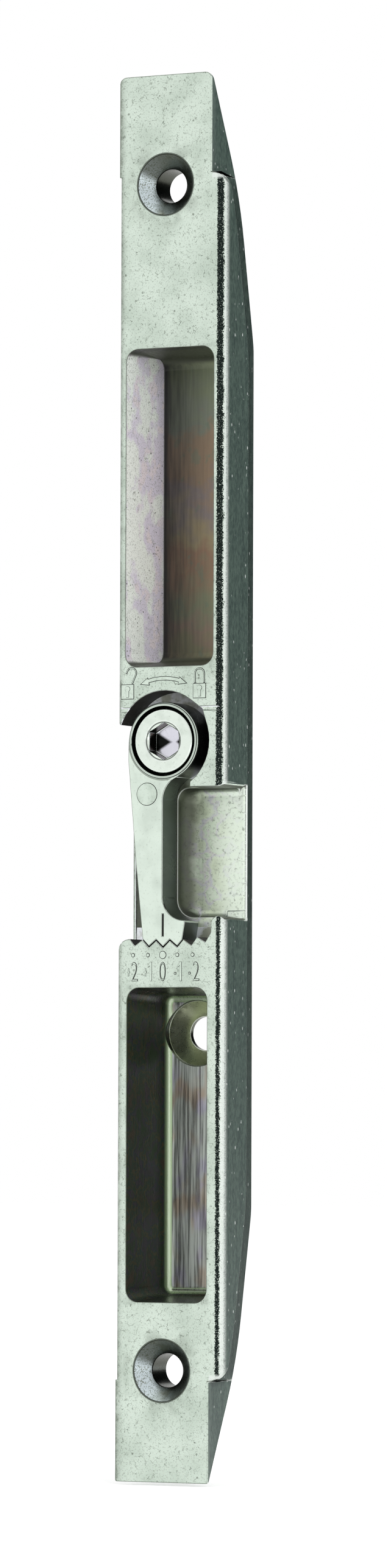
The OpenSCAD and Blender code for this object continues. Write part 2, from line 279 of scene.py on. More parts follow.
# Cast plate. One zinc die casting with its pockets, recess, rack and side flange, zinc
# plated and passivated, so that its face is pale and its deep pockets hold stained tints.
MM = 0.001
plate_edge_r = 0.12 * MM
flat_area = 25 * MM * MM


def joined_copy(node, name):
    """A copy of a CAD node with its loose triangles joined into flat faces."""
    bpy.ops.object.select_all(action="DESELECT")
    piece = bpy.data.objects.new(name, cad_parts[node].data.copy())
    bpy.context.scene.collection.objects.link(piece)
    piece.data.materials.clear()
    piece.select_set(True)
    bpy.context.view_layer.objects.active = piece
    bpy.ops.object.mode_set(mode="EDIT")
    bpy.ops.mesh.select_mode(type="EDGE")
    bpy.ops.mesh.select_all(action="SELECT")
    bpy.ops.mesh.remove_doubles(threshold=0.002 * MM)
    bpy.ops.mesh.dissolve_limited(angle_limit=math.radians(0.2))
    bpy.ops.object.mode_set(mode="OBJECT")
    return piece


def round_edges(piece, radius, left_sharp, rounded_edge):
    """Rounds every sharp edge of the active piece but those near the places left sharp.

    The new faces are marked in an attribute of that name, so that a material can paint them, mostly with painted
    highlights and painted shade."""
    bpy.ops.object.mode_set(mode="EDIT")
    bpy.ops.mesh.select_all(action="DESELECT")
    bpy.ops.mesh.edges_select_sharp(sharpness=math.radians(32))
    bpy.ops.object.mode_set(mode="OBJECT")
    mesh = piece.data
    mesh.materials.append(None)
    mesh.materials.append(None)
    chosen = [edge.select for edge in mesh.edges]
    for things in (mesh.vertices, mesh.edges, mesh.polygons):
        things.foreach_set("select", [False] * len(things))
    for edge, sharp in zip(mesh.edges, chosen):
        a, b = (mesh.vertices[v].co for v in edge.vertices)
        middle = (a + b) / 2
        near = any((middle - Vector(p) * MM).length < reach * MM for *p, reach in left_sharp)
        edge.select = sharp and not near
    bpy.ops.object.mode_set(mode="EDIT")
    bpy.ops.mesh.bevel(offset=radius, segments=2, affect="EDGES", clamp_overlap=False, material=1)
    bpy.ops.object.mode_set(mode="OBJECT")
    rounded_faces = mesh.attributes.new(rounded_edge, "FLOAT", "FACE")
    for face, mark in zip(mesh.polygons, rounded_faces.data):
        mark.value = float(face.material_index == 1)
        face.material_index = 0
    mesh.materials.clear()


def smooth_over(piece, angle):
    """Smooth shading except across edges sharper than the angle, with large faces kept flat."""
    bpy.ops.object.select_all(action="DESELECT")
    piece.select_set(True)
    bpy.context.view_layer.objects.active = piece
    bpy.ops.object.shade_smooth_by_angle(angle=math.radians(angle))
    for face in piece.data.polygons:
        if face.area > flat_area:
            face.use_smooth = False
    weighted = piece.modifiers.new("weighted", "WEIGHTED_NORMAL")
    weighted.keep_sharp = True
    bpy.ops.object.modifier_apply(modifier="weighted")


def metal(name, metallic, roughness):
    """A material with a metal shader. Gives it, a wire at its coordinates in mm, and the shader."""
    material = bpy.data.materials.new(name)
    tree, output = shader_tree(material)
    shader = tree.nodes.new("ShaderNodeBsdfPrincipled")
    shader.inputs["Metallic"].default_value = metallic
    shader.inputs["Roughness"].default_value = roughness
    tree.links.new(shader.outputs[0], output.inputs["Surface"])
    place = Wire(tree).node("TexCoord", output="Object")
    place = place.node("Mapping", {"Vector": place, "Scale": (1 / MM, 1 / MM, 1 / MM)})
    return material, place, shader


def feed(shader, **wires):
    """Links wires to the shader's inputs, named with _ for a space."""
    for name, wire in wires.items():
        wire.tree.links.new(wire.socket, shader.inputs[name.replace("_", " ")])


def noise(place, scale, detail=2.0, stretch=(1, 1, 1)):
    """Noise from about 0.3 to 0.7, with that many features per mm, drawn out by the stretch."""
    if stretch != (1, 1, 1):
        place = place.node("Mapping", {"Vector": place, "Scale": stretch})
    return place.node("TexNoise", {"Vector": place, "Scale": scale, "Detail": detail})


def specks(place, scale, size, stretch=(1, 1, 1)):
    """1 inside small dots, scale cells per mm, each about that share of its cell."""
    if stretch != (1, 1, 1):
        place = place.node("Mapping", {"Vector": place, "Scale": stretch})
    distance = place.node("TexVoronoi", {"Vector": place, "Scale": scale})
    return distance.fall(size * 0.5, size)


def hairlines(place, scale, width):
    """1 on thin curly lines, the borders of cells that noise has pushed about."""
    push = place.node("TexNoise", {"Vector": place, "Scale": scale * 1.7, "Detail": 2}, output="Color")
    pushed = place.node("VectorMath", {0: push, 1: place}, operation="ADD")
    border = pushed.node("TexVoronoi", {"Vector": pushed, "Scale": scale}, feature="DISTANCE_TO_EDGE")
    return border.fall(width * 0.4, width)


def axes(place):
    """The x, y and z of a place."""
    return [place.node("SeparateXYZ", {0: place}, output=i) for i in range(3)]


plate = joined_copy("strike_body", "cast_plate")
# Cuts across the plate above and below the recess, so that the flange's side is not one
# face that narrows to a sliver there
recess_cuts = (-0.4, -23.2)
bpy.ops.object.mode_set(mode="EDIT")
for height in recess_cuts:
    bpy.ops.mesh.select_all(action="SELECT")
    bpy.ops.mesh.bisect(plane_co=(0, 0, height * MM), plane_no=(0, 0, 1))
bpy.ops.object.mode_set(mode="OBJECT")
plate_ends_left_sharp = [
    (-7.9, 4.9, 7.84, 1.5),
    (10.2, 7.9, -1.9, 1.7),
    (10.2, 7.9, -21.7, 1.7),
    (10.2, 8.2, -11.8, 2.2),
    (-7.9, 0.5, 92.5, 1.1),
    (-7.9, 0.5, -92.5, 1.1),
    (-7.9, 4.8, 92.5, 0.6),
    (-7.9, 4.8, -92.5, 0.6),
]
round_edges(plate, plate_edge_r, plate_ends_left_sharp, "rounded_edge_faces")
smooth_over(plate, 35)


# Finishes of the plate, face by face: the outside, the two pockets, the screw holes, the
# lever's seat and the latch recess. Each is a slot of its own on the one casting.
hole_heights = (91, -91)
pocket_hole_height = -39.4
countersink_reach = 4.85
upper_pocket = ((-6.9, 0.02, 16), (8.5, 12.2, 66.2))
lower_pocket = ((-6.4, 0.02, -81), (7.8, 11.85, -32.2))
lever_seat = ((-9, 0.02, -27.6), (8.6, 5, 13.4))
latch_recess = ((-0.1, 0.02, -22.2), (11, 9, -1.6))
finishes = ["outside", "upper_pocket", "lower_pocket", "screw_holes", "seat", "recess"]


def opens_into(face, box):
    """True where a face lies in the box and looks towards its middle."""
    low, high = (Vector(corner) * MM for corner in box)
    inside = all(a < c < b for a, c, b in zip(low, face.center, high))
    return inside and ((low + high) / 2 - face.center).dot(face.normal) > 0


def round_hole(face, height, reach, depths):
    x, y, z = (c / MM for c in face.center)
    return math.hypot(x, z - height) < reach and depths[0] < y < depths[1]


def finish_of(face):
    if any(round_hole(face, height, countersink_reach, (0.02, 6.7)) for height in hole_heights):
        return "screw_holes"
    if opens_into(face, upper_pocket):
        return "upper_pocket"
    if opens_into(face, lower_pocket):
        return "lower_pocket"
    if round_hole(face, pocket_hole_height, 5.1, (11.6, 15.6)):
        return "screw_holes"
    if opens_into(face, latch_recess):
        return "recess"
    return "seat" if opens_into(face, lever_seat) else "outside"


for face in plate.data.polygons:
    face.material_index = finishes.index(finish_of(face))


# Outside of the plate. Pale zinc with a fine grain and dark hairlines on the face, a painted dark
# reflection and a painted highlight along the flange's rounded edge, and dark grey sides, partly their own satin
# finish and partly painted shade, with bright scuffs.
face_pale = (0.62, 0.71, 0.625, 1)
face_cloud = (0.50, 0.585, 0.505, 1)
# Dark for hairlines, grain and pits, and also for painted dark lines along edges.
hairline_and_shade_dark = (0.13, 0.15, 0.12, 1)
# The sides' dark grey and streaks are partly their own satin finish and partly painted shade.
side_grey = (0.092, 0.135, 0.113, 1)
side_streak = (0.045, 0.07, 0.062, 1)
scuff_white = (0.85, 0.9, 0.87, 1)
back_grey = (0.42, 0.47, 0.43, 1)
edge_black = (0.010, 0.016, 0.014, 1)
# Colour of the painted highlights on rounded edges.
edge_highlight = (0.75, 0.80, 0.76, 1)
flange_edge_dark = (9.08, 9.66)
flange_edge_gap = 0.05
upper_half_wider = 0.22
recess_lip = ((7.3, 9.4), (-22.4, -1.2))
flange_half_length = 91.5
groove_height = 10.1
fine_bump = 0.02 * MM


def rectangle_border(x, z, middle, half, width):
    """1 along the outer border of a rectangle on the face, falling to 0 over the width."""
    out_x = (x - middle[0]).size() - half[0]
    out_z = (z - middle[1]).size() - half[1]
    return out_x.most(out_z).fall(0, width)


def cast_bump(shader, place, strength, extra=None):
    """Fine unevenness of a cast surface, with an optional second height of its own."""
    height = noise(place, 1.3, 4)
    if extra is not None:
        height = height + extra
    bump = place.node("Bump", {"Strength": strength, "Distance": fine_bump, "Height": height})
    feed(shader, Normal=bump)


outside, mm, shader = metal("outside_zinc", 0.92, 0.34)
x, y, z = axes(mm)
facing = axes(mm.node("TexCoord", output="Normal"))
rounded_edge = mm.node("Attribute", attribute_name="rounded_edge_faces", output="Fac")
cloud = noise(mm, 0.16, 4)
grain = noise(mm, 4, 3)
fine = noise(mm, 6, 2)
coarse = noise(mm, 0.9, 3)
dirt = noise(mm, 0.35, 3)
off_hole = z.size() - hole_heights[0]
off_hole = (x * x + off_hole * off_hole) ** 0.5
near_hole = off_hole.fall(4.6, 8)
hole_line = off_hole.rise(4.55, 4.7) * off_hole.fall(4.85, 5)
borders = rectangle_border(x, z, (0.9, 41.2), (7.5, 24.5), 0.8)
borders = borders.most(rectangle_border(x, z, (0.7, -56.6), (6.85, 24), 0.8))
left_strip = x.fall(-7.9, -6.5)
borders = borders.most(left_strip).most(near_hole)

tone = cloud.rise(0.35, 0.72)
colour = tone.blend(face_pale, face_cloud)
colour = (grain.rise(0.52, 0.72) * 0.4).blend(colour, hairline_and_shade_dark)
colour = (borders * dirt.rise(0.42, 0.66) * 0.38).blend(colour, hairline_and_shade_dark)
colour = (left_strip * 0.3).blend(colour, hairline_and_shade_dark)
curls = hairlines(mm, 0.8, 0.035) * noise(mm, 1.3, 2).rise(0.53, 0.6)
curls = curls.most(hairlines(mm, 1.6, 0.05) * noise(mm, 1.7, 2).rise(0.55, 0.62))
colour = (curls * 0.62).blend(colour, hairline_and_shade_dark)
ragged_dirt = (x + (coarse - 0.5) * 1.6 + (fine - 0.5) * 0.8).fall(-7.8, -7.4)
colour = (ragged_dirt * 0.55).blend(colour, hairline_and_shade_dark)
colour = (hole_line * 0.92).blend(colour, edge_black)
pits = specks(mm, 0.55, 0.13) * dirt.rise(0.4, 0.6)
colour = (pits * 0.7).blend(colour, hairline_and_shade_dark)

streaks = noise(mm, 1.6, 3, (1, 1, 0.12))
mottling = noise(mm, 2.4, 3, (1, 1, 0.5))
side_tone = streaks.rise(0.3, 0.7) * 0.45 + mottling.rise(0.4, 0.6) * 0.55
side_finish_and_shade = side_tone.blend(side_grey, side_streak)
scuffs = specks(mm, 1.3, 0.2, (1, 1, 0.45)) * noise(mm, 0.6, 2).rise(0.5, 0.6)
side_finish_and_shade = (scuffs * 0.8).blend(side_finish_and_shade, scuff_white)
side = facing[0].size().rise(0.8, 0.95)
colour = side.blend(colour, side_finish_and_shade)
back = facing[1].rise(0.1, 0.4)
colour = (back * 0.85).blend(colour, back_grey)

along_flange = z.size().fall(flange_half_length, flange_half_length + 0.7)
ragged = x + (fine - 0.5) * 0.7 + (grain - 0.5) * 0.4 + (coarse - 0.5) * 0.4
ragged_start = ragged + z.rise(-9, -1) * 0.12
# Painted reflection: a dark speckled band along the flange's rounded edge, where it would mirror dark
# surroundings.
flange_dark_reflection = ragged_start.rise(flange_edge_dark[0] - 0.06, flange_edge_dark[0] + 0.05)
inner = ragged - z.rise(-9, -1) * upper_half_wider
flange_dark_reflection = flange_dark_reflection * inner.fall(flange_edge_dark[1] - 0.05, flange_edge_dark[1] + 0.06)
flange_dark_reflection = flange_dark_reflection * y.fall(0.7, 0.9) * along_flange
glints = fine.rise(0.6, 0.68)
colour = (flange_dark_reflection * (1 - glints * 0.5)).blend(colour, edge_black)
light_from = flange_edge_dark[1] + flange_edge_gap
# Painted highlight: a bright band just beyond it, and on the rounded lip of the latch recess.
painted_edge_highlight = inner.rise(light_from, light_from + 0.06) * y.fall(0.4, 1.7) * along_flange
painted_edge_highlight = painted_edge_highlight * (1 - fine.rise(0.5, 0.62) * 0.55)
lip = y.rise(recess_lip[0][0], recess_lip[0][0] + 0.1) * y.fall(recess_lip[0][1] - 0.3, recess_lip[0][1])
lip = lip * z.rise(recess_lip[1][0], recess_lip[1][0] + 0.3) * z.fall(recess_lip[1][1] - 0.3, recess_lip[1][1])
lip = lip * x.rise(9.1, 9.25)
painted_edge_highlight = painted_edge_highlight.most(lip)
# Painted shade: the side behind the flange and beside the recess is darkened.
shade_beside_recess = side * x.rise(0, 1) * z.rise(-22.4, -21.5) * z.fall(-2.0, -1.2) * y.rise(8.6, 9.4)
shade_behind_flange = side * x.rise(0, 1) * x.fall(8.6, 9.2) * z.size().fall(91, 93)
colour = (shade_behind_flange.most(shade_beside_recess * 1.3) * 0.5).blend(colour, edge_black)
colour = (painted_edge_highlight * (1 - coarse.rise(0.55, 0.75) * 0.4)).blend(colour, edge_highlight)
# Painted reflection: a dark line across the recess lip.
lip_dark_reflection = lip * facing[0].rise(0.5, 0.6) * facing[0].fall(0.72, 0.85)
colour = (lip_dark_reflection * (1 - glints) * 0.85).blend(colour, hairline_and_shade_dark)
# Painted highlight on the flange's shoulders at its ends.
shoulder_highlight = z.size().rise(91.3, 91.8) * x.rise(7.95, 8.2)
colour = (shoulder_highlight * 0.75).blend(colour, edge_highlight)
off_groove = (z - groove_height).size().rise(0.3, 0.5)
outline = rounded_edge * y.fall(0.03, 0.05)
colour = (outline * 0.75).blend(colour, hairline_and_shade_dark)
# Painted highlight along the face's rounded edges.
bevel_highlight = rounded_edge * (1 - outline) * off_groove * coarse.rise(0.36, 0.55)
colour = (bevel_highlight * (1 - borders * 0.6) * 0.75).blend(colour, edge_highlight)

metal_share = (0.92 - side * (1 - painted_edge_highlight) * 0.72) * (1 - lip * 0.9)
feed(shader, Base_Color=colour, Metallic=metal_share)
feed(shader, Roughness=0.27 + cloud * 0.12 + curls * 0.2 + streaks * 0.08 * side)
cast_bump(shader, mm, 0.5, pits * -0.6 + curls * -0.4)
plate.data.materials.append(outside)


# Upper pocket. Its left wall is bright, partly as painted light, and blotched with pink and violet, and its floor
# is stained brown and olive, with painted shade darkest along the wall.
wall_white = (0.92, 0.97, 0.93, 1)
wall_violet = (0.78, 0.74, 0.86, 1)
wall_pink = (0.86, 0.79, 0.84, 1)
pocket_black = (0.03, 0.034, 0.026, 1)
floor_stains = [
    (0.0, (0.25, 0.24, 0.13)),
    (0.1, (0.29, 0.21, 0.15)),
    (0.2, (0.22, 0.24, 0.14)),
    (0.33, (0.30, 0.18, 0.11)),
    (0.42, (0.33, 0.27, 0.15)),
    (0.54, (0.24, 0.20, 0.19)),
    (0.62, (0.30, 0.21, 0.13)),
    (0.76, (0.30, 0.22, 0.14)),
    (0.83, (0.22, 0.25, 0.19)),
    (1.0, (0.23, 0.27, 0.15)),
]
upper_foot = 17
upper_length = 48.4

pocket, mm, shader = metal("upper_pocket_zinc", 0.1, 0.4)
x, y, z = axes(mm)
facing = axes(mm.node("TexCoord", output="Normal"))
rounded_edge = mm.node("Attribute", attribute_name="rounded_edge_faces", output="Fac")
blotch = noise(mm, 0.22, 3)
grain = noise(mm, 2.2, 3)
drawn = noise(mm, 2.4, 3, (1, 1, 0.06))
wall = facing[0].rise(0.5, 0.8)
deep = y.rise(2, 11)
# The left wall's near-white is partly painted light.
tint = (blotch + deep * 0.16).rise(0.5, 0.64)
wall_colour = tint.blend(wall_white, wall_violet)
wall_colour = (noise(mm, 0.4, 2).rise(0.52, 0.62) * tint).blend(wall_colour, wall_pink)
dots = specks(mm, 1.1, 0.2) * noise(mm, 0.35, 3).rise(0.48, 0.58)
wall_colour = (dots * 0.85).blend(wall_colour, pocket_black)
wall_colour = (noise(mm, 4.5, 3).rise(0.5, 0.68) * 0.4).blend(wall_colour, hairline_and_shade_dark)
scratches = hairlines(mm, 0.7, 0.03) * noise(mm, 1.2, 2).rise(0.53, 0.6)
wall_colour = (scratches * 0.6).blend(wall_colour, hairline_and_shade_dark)
up_floor = (z - upper_foot) / upper_length + (blotch - 0.5) * 0.35 + (noise(mm, 0.6, 3) - 0.5) * 0.14
floor_colour = up_floor.node("ValToRGB", {0: up_floor}, stops=floor_stains)
green = noise(mm, 0.55, 3, (1, 1, 0.7)).rise(0.6, 0.68)
floor_colour = (green * 0.5).blend(floor_colour, (0.16, 0.22, 0.15, 1))
# Painted shade: the floor darkens towards the left wall and along the crease at its foot.
crease_shade = 1 - x.fall(-6.0, -5.0) * 0.88
floor_colour = floor_colour.shaded((0.14 + x.rise(-5.5, 6) * 1.1 + (drawn - 0.5) * 0.45) * crease_shade)
colour = wall.blend(floor_colour, wall_colour)
# Painted shade: the end walls are dark olive, darkest near the mouth.
ends = facing[2].size().rise(0.4, 0.85)
colour = ends.blend(colour, (0.07, 0.08, 0.055, 1))
colour = (ends * y.fall(1.5, 4) * 0.8).blend(colour, pocket_black)
# Painted shade along the pocket's rounded rim.
colour = (rounded_edge * 0.7).blend(colour, pocket_black)
feed(shader, Base_Color=colour, Roughness=0.42 - wall * 0.04 + (drawn - 0.5) * 0.3)
cast_bump(shader, mm, 0.4, drawn * 0.8)
plate.data.materials.append(pocket)


# Lower pocket. Its walls are painted almost black, partly as painted shade, with olive, brown and violet stain
# tints and painted highlights on the fillet at their foot, and its floor keeps the vertical marks of the tool.
wall_shade_and_stains = [
    (0.0, (0.060, 0.048, 0.034)),
    (0.3, (0.026, 0.050, 0.034)),
    (0.45, (0.070, 0.058, 0.032)),
    (0.55, (0.024, 0.048, 0.040)),
    (0.7, (0.052, 0.042, 0.054)),
    (1.0, (0.032, 0.052, 0.028)),
]
fillet_highlight_green = (0.46, 0.62, 0.36, 1)
ridge_highlight = (0.80, 0.90, 0.72, 1)
floor_metal = (0.56, 0.61, 0.56, 1)
floor_brown = (0.50, 0.42, 0.33, 1)
floor_violet = (0.48, 0.46, 0.58, 1)
rim_shade = (0.03, 0.034, 0.026, 1)

pocket, mm, shader = metal("lower_pocket_zinc", 0.55, 0.35)
x, y, z = axes(mm)
facing = axes(mm.node("TexCoord", output="Normal"))
rounded_edge = mm.node("Attribute", attribute_name="rounded_edge_faces", output="Fac")
blotch = noise(mm, 0.34, 4)
drawn = noise(mm, 3.2, 3, (1, 1, 0.035))
wall_colour = blotch.node("ValToRGB", {0: blotch.rise(0.3, 0.7)}, stops=wall_shade_and_stains)
flat = (0 - facing[1]).rise(0.93, 0.985)
fillet = (0 - facing[1]).rise(0.45, 0.75) * (1 - flat)
tint = noise(mm, 0.35, 2, (1, 1, 0.5))
floor_colour = tint.rise(0.48, 0.7).blend(floor_metal, floor_brown)
floor_colour = (noise(mm, 0.45, 2, (1, 1, 0.5)).rise(0.5, 0.7) * 0.8).blend(floor_colour, floor_violet)
floor_colour = floor_colour.shaded(drawn.rise(0.36, 0.64) * 0.65 + 0.3)
# Painted highlights: a green band on the fillet and a bright line where it meets the floor.
colour = (fillet * 0.8).blend(wall_colour, fillet_highlight_green)
ridge = (0 - facing[1]).rise(0.72, 0.8) * (0 - facing[1]).fall(0.88, 0.93)
colour = (ridge * 0.5).blend(colour, ridge_highlight)
colour = flat.blend(colour, floor_colour)
# Painted shade along the pocket's rounded rim.
colour = (rounded_edge * 0.7).blend(colour, rim_shade)
feed(shader, Base_Color=colour, Roughness=0.3 + (drawn - 0.5) * 0.3)
cast_bump(shader, mm, 0.35, drawn)
plate.data.materials.append(pocket)


# Screw holes. The countersinks are smoother than the face, with streaks and faint brown tints, a painted
# blue reflection where they face right, and painted shade where they face left or down and in the bore.
sink_metal = (0.40, 0.46, 0.44, 1)
sink_blue_reflection = (0.62, 0.70, 0.74, 1)
sink_brown = (0.19, 0.20, 0.14, 1)
sink_dark = (0.045, 0.05, 0.034, 1)
pocket_sink = (0.52, 0.56, 0.38, 1)

rim_black = (0.012, 0.013, 0.010, 1)

holes, mm, shader = metal("screw_hole_zinc", 1.0, 0.28)
x, y, z = axes(mm)
facing = axes(mm.node("TexCoord", output="Normal"))
rounded_edge = mm.node("Attribute", attribute_name="rounded_edge_faces", output="Fac")
blotch = noise(mm, 0.5, 3)
turned = noise(mm, 4.5, 3)
colour = (blotch.rise(0.45, 0.65) * 0.7).blend(sink_metal, sink_brown)
bore_shade = (facing[1].size()).fall(0.2, 0.45)
colour = (turned.rise(0.5, 0.7) * 0.45).blend(colour, sink_dark)
# Painted reflection: a pale blue tint where the cone faces right.
colour = (facing[0].rise(0.1, 0.5) * turned.fall(0.46, 0.62) * 0.8).blend(colour, sink_blue_reflection)
# Painted shade where the cone faces left or down.
turned_away_shade = facing[0].fall(-0.35, 0.05).most(facing[2].fall(-0.4, -0.05))
colour = (turned_away_shade * 0.85).blend(colour, sink_dark)
in_pocket = y.rise(8, 10)
colour = (in_pocket * 0.8).blend(colour, pocket_sink)
# Painted shade down the bore.
colour = (bore_shade * 0.9).blend(colour, sink_dark)
# The countersinks' rounded rim is darkened; at the bottom of the lower pocket it gets a painted highlight
# instead.
colour = (rounded_edge * (1 - in_pocket) * 0.9).blend(colour, rim_black)
colour = (rounded_edge * in_pocket * 0.5).blend(colour, edge_highlight)
feed(shader, Base_Color=colour, Roughness=0.2 + turned * 0.2)
cast_bump(shader, mm, 0.5)
plate.data.materials.append(holes)


# Lever's seat. Its floor is pale, partly as painted light, with olive blotches, and its walls and the right
# side of its floor are painted black as shade.
seat_pale_and_lit = (0.84, 0.87, 0.90, 1)
seat_olive = (0.40, 0.42, 0.34, 1)
seat_shade_black = (0.012, 0.011, 0.009, 1)

seat, mm, shader = metal("seat_zinc", 0.4, 0.36)
facing = axes(mm.node("TexCoord", output="Normal"))
blotch = noise(mm, 0.35, 3)
grain = noise(mm, 2.2, 3)
colour = blotch.rise(0.5, 0.68).blend(seat_pale_and_lit, seat_olive)
colour = (grain.rise(0.52, 0.75) * 0.35).blend(colour, hairline_and_shade_dark)
upright = (facing[1].size()).fall(0.3, 0.8)
x, y, z = axes(mm)
shade = x.rise(3.6, 5) * z.rise(-4, -2) * z.fall(8.5, 10)
# Painted shade: the seat's walls and the right side of its floor are black.
colour = upright.most(shade).blend(colour, seat_shade_black)
top_crescent = z.rise(7, 9.5)
metal_share = (0.6 - upright * 0.6) * (1 - top_crescent)
feed(shader, Base_Color=colour, Metallic=metal_share, Roughness=0.26 + grain * 0.12 + upright * 0.25)
cast_bump(shader, mm, 0.5)
plate.data.materials.append(seat)


# Latch recess. A pale stained floor, pitted and scratched, painted paler towards the right as light, and
# darker where it curves up into the left wall and on its walls as painted shade.
recess_stains = [
    (0.0, (0.50, 0.57, 0.42)),
    (0.3, (0.58, 0.66, 0.50)),
    (0.5, (0.55, 0.60, 0.52)),
    (0.6, (0.50, 0.51, 0.55)),
    (0.68, (0.56, 0.56, 0.54)),
    (0.82, (0.54, 0.64, 0.50)),
    (1.0, (0.60, 0.67, 0.56)),
]
recess_black = (0.045, 0.05, 0.035, 1)

recess, mm, shader = metal("recess_zinc", 0.75, 0.36)
x, y, z = axes(mm)
facing = axes(mm.node("TexCoord", output="Normal"))
rounded_edge = mm.node("Attribute", attribute_name="rounded_edge_faces", output="Fac")
blotch = noise(mm, 0.28, 3)
grain = noise(mm, 2.4, 3)
colour = blotch.node("ValToRGB", {0: blotch.rise(0.3, 0.7)}, stops=recess_stains)
# Painted light: the floor is paler towards the right.
colour = (x.rise(3.5, 8.5) * 0.8).blend(colour, (0.76, 0.85, 0.74, 1))
colour = (grain.rise(0.52, 0.74) * 0.35).blend(colour, hairline_and_shade_dark)
dents = specks(mm, 0.6, 0.16) * noise(mm, 0.4, 2).rise(0.45, 0.55)
dents = dents.most(hairlines(mm, 0.8, 0.03) * noise(mm, 1.3, 2).rise(0.54, 0.6))
colour = (dents * 0.5).blend(colour, hairline_and_shade_dark)
# Painted shade: the floor darkens towards the left wall, and the walls are dark.
left = (x + (blotch - 0.5) * 1.6).fall(0.8, 3.4)
upright = (0 - facing[1]).fall(0.35, 0.9)
colour = (left.most(upright) * 0.92).blend(colour, recess_black)
# Painted highlight on the rounded edges.
colour = (rounded_edge * 0.3).blend(colour, edge_highlight)
feed(shader, Base_Color=colour, Roughness=0.3 + grain * 0.14)
cast_bump(shader, mm, 0.5, dents * -0.8)
plate.data.materials.append(recess)

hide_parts("strike_body")
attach(plate, "strike")


# Latch lever. A small zinc die casting, smoother and paler than the plate, that hooks its
# three teeth into the rack and is clamped at its eye.
lever_edge_r = 0.12 * MM
lever_pale = (0.66, 0.75, 0.665, 1)
lever_cloud = (0.57, 0.65, 0.575, 1)
lever_side_shade = (0.06, 0.078, 0.066, 1)
gap_black = (0.008, 0.009, 0.008, 1)
pivot = 5.2
eye_bore_r = 5.38
eye_rim_r = 5.72

lever = joined_copy("latch_lever", "latch_lever_cast")
round_edges(lever, lever_edge_r, [(-6, 0, 5.2, 0.7), (2.2, 0, -0.4, 0.7)], "rounded_edge_faces")
smooth_over(lever, 35)
lever_zinc, mm, shader = metal("lever_zinc", 0.92, 0.26)
facing = axes(mm.node("TexCoord", output="Normal"))
rounded_edge = mm.node("Attribute", attribute_name="rounded_edge_faces", output="Fac")
cloud = noise(mm, 0.25, 3)
grain = noise(mm, 2.4, 3)
colour = cloud.rise(0.4, 0.7).blend(lever_pale, lever_cloud)
colour = (grain.rise(0.55, 0.8) * 0.3).blend(colour, hairline_and_shade_dark)
pits = specks(mm, 0.7, 0.12) * noise(mm, 0.4, 2).rise(0.5, 0.6)
colour = (pits * 0.7).blend(colour, hairline_and_shade_dark)
# Painted shade: the lever's upright sides, down in the seat, are dark.
upright = (facing[1].size()).fall(0.35, 0.75)
colour = (upright * 0.94).blend(colour, lever_side_shade)
x, y, z = axes(mm)
outline = rounded_edge * y.fall(0.03, 0.05)
# Painted highlight along the rounded edges.
colour = (rounded_edge * (1 - outline) * 0.7).blend(colour, edge_highlight)
# Painted shade in the gap between eye and screw head, along the eye's rim and just inside it; and a dark line
# along the groove on the lever's foot.
from_screw = (x * x + (z - pivot) * (z - pivot)) ** 0.5
gap = from_screw.fall(eye_bore_r - 0.1, eye_bore_r - 0.02) * y.rise(-0.2, -0.1)
line = from_screw.rise(eye_rim_r - 0.06, eye_rim_r) * from_screw.fall(eye_rim_r + 0.08, eye_rim_r + 0.14)
groove = y.rise(0.03, 0.08) * y.fall(0.4, 0.5) * x.size().fall(0.35, 0.5) * z.fall(-19.8, -19.5)
ring = from_screw.fall(eye_rim_r - 0.1, eye_rim_r) * (1 - gap) * 0.25
outline = outline * from_screw.rise(eye_rim_r, eye_rim_r + 0.1)
colour = (outline * 0.7).blend(colour, hairline_and_shade_dark)
# Painted shade: the eye's side is darker still.
eye_side = upright * z.rise(-1.4, 0.4)
colour = (eye_side * 0.8).blend(colour, gap_black)
colour = gap.most(line * 0.9).most(ring).most(groove).blend(colour, gap_black)
feed(shader, Base_Color=colour, Roughness=0.22 + cloud * 0.14)
cast_bump(shader, mm, 0.25, pits * -0.8)
lever.data.materials.append(lever_zinc)
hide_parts("latch_lever")
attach(lever, "lever")


# Clamp screw. A plated steel socket screw whose turned head fills the lever's eye.
screw_edge_r = 0.1 * MM
screw_pale = (0.70, 0.77, 0.70, 1)
screw_cloud = (0.60, 0.67, 0.60, 1)
socket_violet_reflection = (0.62, 0.62, 0.68, 1)
socket_shade = (0.06, 0.045, 0.035, 1)
head_r = 5
socket_reach = 2.95

screw = joined_copy("clamp_screw", "socket_screw")
round_edges(screw, screw_edge_r, [], "rounded_edge_faces")
smooth_over(screw, 35)
screw_zinc, mm, shader = metal("screw_zinc", 1.0, 0.2)
x, y, z = axes(mm)
facing = axes(mm.node("TexCoord", output="Normal"))
rounded_edge = mm.node("Attribute", attribute_name="rounded_edge_faces", output="Fac")
cloud = noise(mm, 0.4, 3)
grain = noise(mm, 3, 2)
colour = cloud.rise(0.45, 0.7).blend(screw_pale, screw_cloud)
colour = (grain.rise(0.6, 0.8) * 0.25).blend(colour, hairline_and_shade_dark)
from_middle = (x * x + (z - pivot) * (z - pivot)) ** 0.5
in_socket = y.rise(0.3, 0.5) * from_middle.fall(socket_reach, socket_reach + 0.1)
in_gap = from_middle.rise(head_r - 0.05, head_r - 0.01) * y.rise(-0.08, 0.02)
# Painted reflection: the socket's floor is violet-white.
colour = (in_socket * (0 - facing[1]).rise(0.6, 0.9)).blend(colour, socket_violet_reflection)
above = (z - pivot).size()
# Painted reflection: a dark wedge on the socket's floor, which turns with the screw.
dark_reflection_wedge = ((0 - x) - above * 1.5).rise(-0.4, 0.5).most((x - above * 1.2).rise(0.5, 1.2))
colour = (in_socket * dark_reflection_wedge).blend(colour, gap_black)
# Painted shade on the socket's walls.
colour = (in_socket * (0 - facing[1]).fall(0.2, 0.5)).blend(colour, socket_shade)
